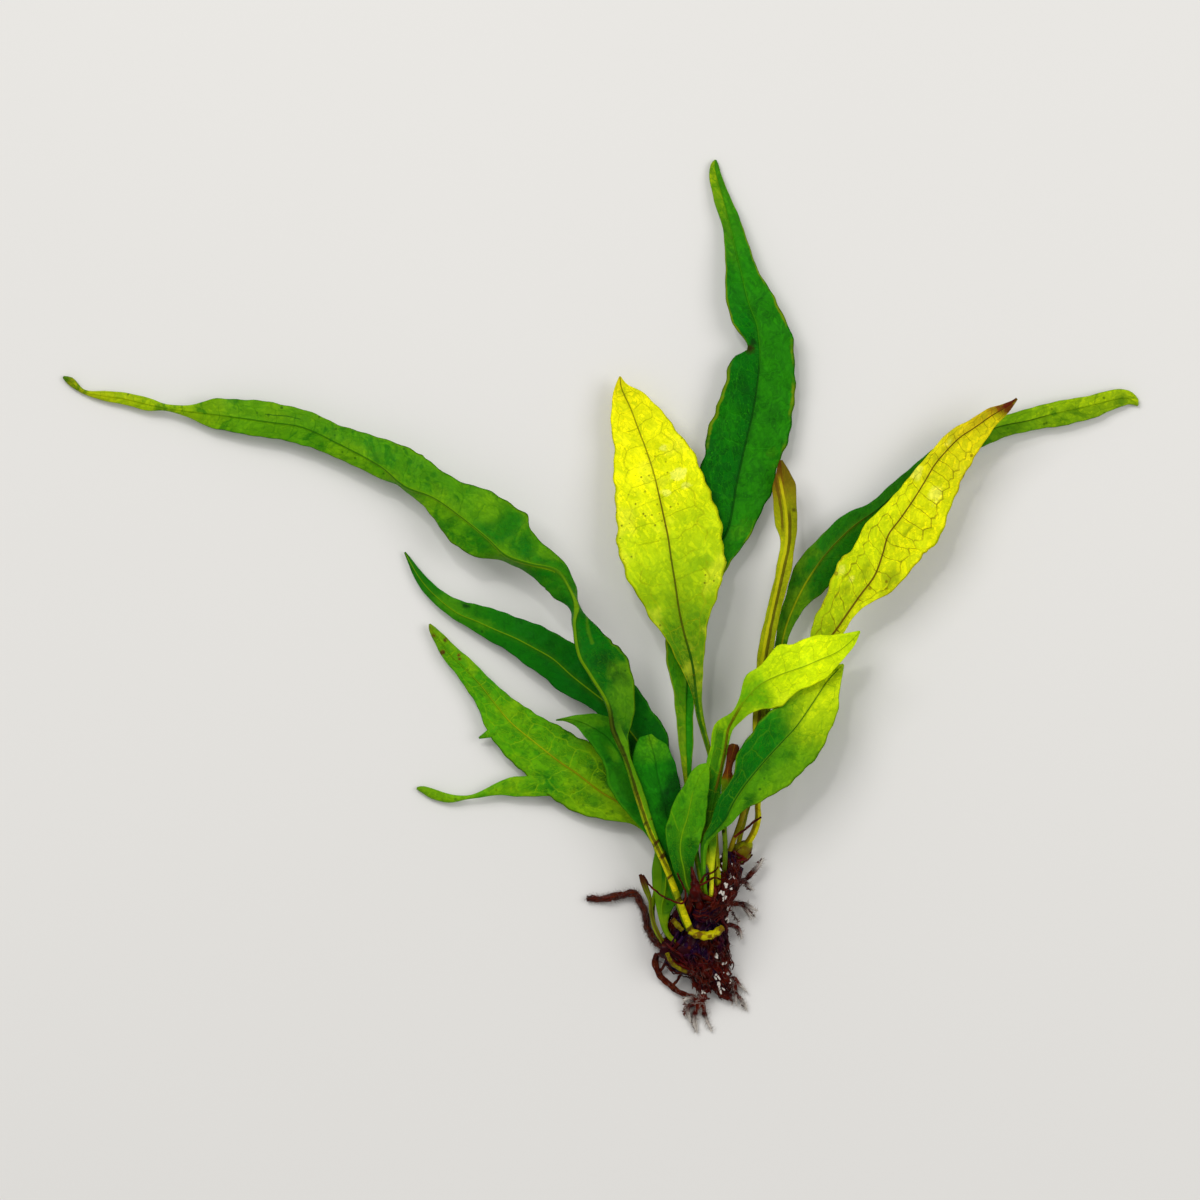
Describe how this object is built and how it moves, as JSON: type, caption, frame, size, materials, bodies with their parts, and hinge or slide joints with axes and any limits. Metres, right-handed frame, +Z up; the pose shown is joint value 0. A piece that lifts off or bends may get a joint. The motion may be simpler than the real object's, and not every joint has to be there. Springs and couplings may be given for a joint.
{
  "type": "java fern plant",
  "caption": "Bare-root aquarium fern lying flat: lance-shaped green and yellow fronds on thin stalks fan out from a short dark rhizome matted with wiry roots.",
  "frame": {"origin": "middle of the plant's outline, on the surface that it lies on", "axes": "X along the spread of the two longest side fronds, Y from the roots to the tallest frond's tip, Z up from the surface"},
  "size_m": [0.216, 0.1752, 0.0141],
  "materials": {
    "frond_light": "smooth and wet, light green with a yellow-green midrib",
    "frond_dark": "smooth and wet, dark green with a fine net of paler veins",
    "frond_mid": "smooth and wet, mid green that turns yellow-green towards the tip",
    "frond_yellow": "smooth and wet, yellow with a brown midrib and veins",
    "frond_pale": "smooth and wet, pale yellow-green",
    "frond_withered": "withered, olive to brown",
    "rhizome": "wet, dark red-brown, with an olive green growing tip",
    "roots": "wet, dark red-brown and wiry, with grey hair ends"
  },
  "bodies": {
    "root": {"frond_long_left": "frond_light", "frond_lobed_left": "frond_light", "frond_young_front": "frond_light", "frond_mid_left": "frond_dark", "frond_inner_left": "frond_dark", "frond_short_back": "frond_dark", "frond_tall": "frond_dark", "frond_far_right": "frond_mid", "frond_broad_right": "frond_mid", "frond_yellow_centre": "frond_yellow", "frond_yellow_right": "frond_yellow", "frond_pale_right": "frond_pale", "frond_withered_narrow": "frond_withered", "frond_old_stub": "frond_withered", "frondlet_left": "frond_withered", "branch_front": "frond_withered", "stalk_remnant": "frond_withered", "rhizome": "rhizome", "root_long_left": "roots", "root_runner": "roots", "root_spike": "roots", "root_crossing": "roots", "root_loop_left": "roots", "root_tuft_bottom": "roots", "root_tuft_low_right": "roots", "root_tuft_upper_right": "roots", "root_tuft_mid_right": "roots", "root_tuft_lean_right": "roots"}
  },
  "joints": []
}
